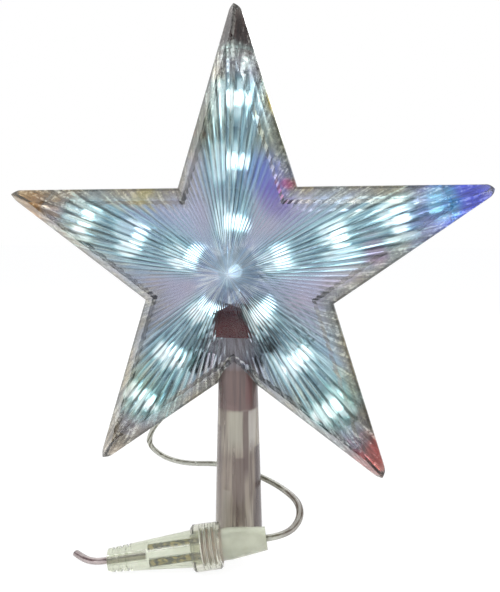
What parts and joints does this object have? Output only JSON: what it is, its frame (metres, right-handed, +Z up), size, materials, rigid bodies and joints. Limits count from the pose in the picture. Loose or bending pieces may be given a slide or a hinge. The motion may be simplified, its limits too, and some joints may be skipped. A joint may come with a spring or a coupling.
{
  "type": "lighted tree topper star",
  "caption": "Lighted five-pointed star tree topper: ribbed clear shells over lamps, a tubular stem with a socket for the tree's leader, and a short lead with a screw connector.",
  "frame": {"origin": "middle of the stem's open mouth, at the foot of the bore that slips over the tree's leader", "axes": "+Z up along the stem to the top point of the star, the star's lit face looks along -Y, +X to the viewer's right"},
  "size_m": [0.2176, 0.0924, 0.2463],
  "materials": {
    "clear_shell": "clear ribbed plastic",
    "clear_shell_back": "clear ribbed plastic",
    "carrier_plastic": "pale moulded plastic",
    "lamp_lens": "clear epoxy lens",
    "pale_base": "white moulded plastic",
    "tinned_wire": "tinned wire",
    "wire_sheath": "thin vinyl sheath",
    "board_laminate": "white coated laminate",
    "resistor_body": "lacquer",
    "core_sheath": "thin vinyl sheath",
    "black_sleeve": "shrink sleeve",
    "grommet_vinyl": "black soft vinyl",
    "stem_plastic": "smoked clear plastic",
    "maroon_plug": "dark moulded plastic",
    "screw_steel": "plated steel",
    "cord_vinyl": "clear soft vinyl",
    "connector_plastic": "clear soft plastic",
    "pin_brass": "plated brass",
    "seal_rubber": "silicone",
    "socket_plastic": "clear soft plastic",
    "contact_brass": "plated brass",
    "collar_plastic": "clear hard plastic",
    "tail_vinyl": "clear soft vinyl"
  },
  "bodies": {
    "star": {"front_shell": "clear_shell", "rear_shell": "clear_shell_back", "lamp_carrier": "carrier_plastic", "lamp_lenses": "lamp_lens", "lamp_bases": "pale_base", "lamp_legs": "tinned_wire", "string_wires": "wire_sheath", "hub_board": "board_laminate", "series_resistor": "resistor_body", "core_wires": "core_sheath", "splice_sleeves": "black_sleeve", "cord_grommet": "grommet_vinyl", "stem_tube": "stem_plastic", "stem_plug": "maroon_plug", "stem_screws": "screw_steel", "star_lead": "cord_vinyl", "plug_body": "connector_plastic", "plug_pins": "pin_brass", "seal_ring": "seal_rubber"},
    "tail": {"socket_body": "socket_plastic", "socket_contacts": "contact_brass", "tail_lead": "tail_vinyl"},
    "collar": {"screw_collar": "collar_plastic"}
  },
  "joints": [
    {"name": "tail_unplug", "type": "slide", "parent": "star", "child": "tail", "axis": [-0.9699, -0.2062, -0.1294], "range_m": [0, 0.01]},
    {"name": "collar_turn", "type": "hinge", "parent": "tail", "child": "collar", "pos_m": [-0.011, -0.0259, 0.0103], "axis": [-0.9699, -0.2062, -0.1294], "range_deg": [0, 1440]}
  ],
  "couplings": [
    {"joint": "tail_unplug", "follows": "collar_turn", "m_per_rad": 0.00039789}
  ]
}
